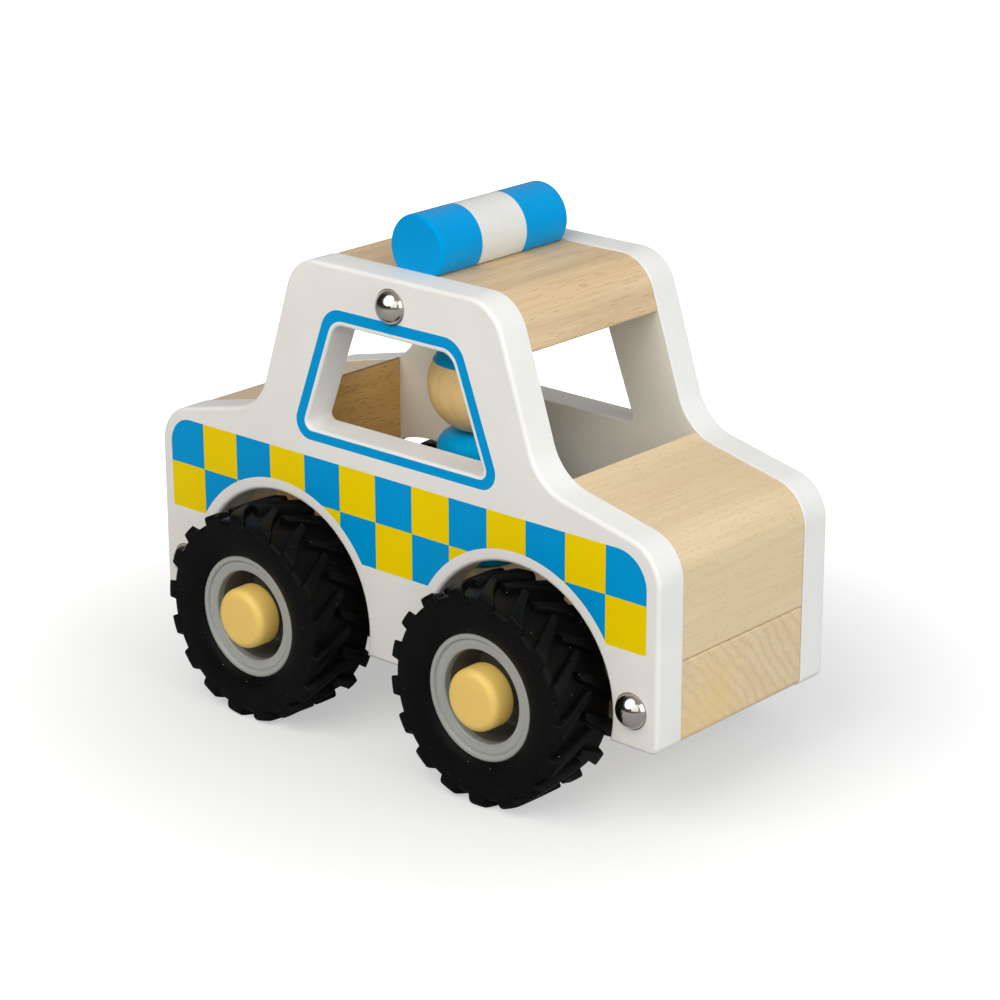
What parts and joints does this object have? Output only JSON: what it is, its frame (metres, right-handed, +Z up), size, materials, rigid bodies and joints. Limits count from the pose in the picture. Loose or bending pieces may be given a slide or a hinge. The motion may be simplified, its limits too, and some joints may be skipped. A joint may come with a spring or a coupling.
{
  "type": "wooden toy police car",
  "caption": "Wooden toy police car: painted side panels on beech blocks, rubber tractor tyres that roll on steel axles, a peg driver behind open windows and a round light bar.",
  "frame": {"origin": "on the ground, under the middle of the car: the centre of the box's underside", "axes": "+X points forwards to the bonnet, +Y to the car's left, +Z up"},
  "size_m": [0.151, 0.088, 0.1219],
  "materials": {
    "white_paint": "wood panel in satin warm white paint, with a printed blue and yellow check band",
    "blue_paint": "turned wood in satin sky-blue paint",
    "beech": "clear-lacquered beech with short dark flecks",
    "turned_wood": "turned and lacquered wood",
    "tyre_rubber": "black rubber with chevron lugs",
    "grey_plastic": "moulded grey plastic, satin gloss",
    "cream_plastic": "moulded cream-yellow plastic, satin",
    "steel": "bright drawn steel",
    "chrome": "polished chrome plate"
  },
  "bodies": {
    "car_body": {"left_side_panel": "white_paint", "right_side_panel": "white_paint", "chassis_block": "beech", "bonnet_block": "beech", "boot_block": "beech", "roof_block": "beech", "light_bar": "blue_paint", "light_bar_dowels": "beech", "roof_tie_rod": "steel", "front_tie_rod": "steel", "rear_tie_rod": "steel", "dome_caps": "chrome", "front_axle": "steel", "rear_axle": "steel", "wheel_washers": "steel", "front_left_axle_cap": "cream_plastic", "front_right_axle_cap": "cream_plastic", "rear_left_axle_cap": "cream_plastic", "rear_right_axle_cap": "cream_plastic", "driver_body": "blue_paint", "driver_head": "turned_wood", "driver_neck_dowel": "beech", "driver_screw": "steel"},
    "front_left_wheel": {"front_left_tyre": "tyre_rubber", "front_left_hub": "grey_plastic"},
    "front_right_wheel": {"front_right_tyre": "tyre_rubber", "front_right_hub": "grey_plastic"},
    "rear_left_wheel": {"rear_left_tyre": "tyre_rubber", "rear_left_hub": "grey_plastic"},
    "rear_right_wheel": {"rear_right_tyre": "tyre_rubber", "rear_right_hub": "grey_plastic"}
  },
  "joints": [
    {"name": "front_left_wheel_spin", "type": "hinge", "parent": "car_body", "child": "front_left_wheel", "pos_m": [0.0358, 0.0336, 0.0248], "axis": [0, 1, 0], "continuous": true},
    {"name": "front_right_wheel_spin", "type": "hinge", "parent": "car_body", "child": "front_right_wheel", "pos_m": [0.0358, -0.0336, 0.0248], "axis": [0, 1, 0], "continuous": true},
    {"name": "rear_left_wheel_spin", "type": "hinge", "parent": "car_body", "child": "rear_left_wheel", "pos_m": [-0.0358, 0.0336, 0.0248], "axis": [0, 1, 0], "continuous": true},
    {"name": "rear_right_wheel_spin", "type": "hinge", "parent": "car_body", "child": "rear_right_wheel", "pos_m": [-0.0358, -0.0336, 0.0248], "axis": [0, 1, 0], "continuous": true}
  ]
}
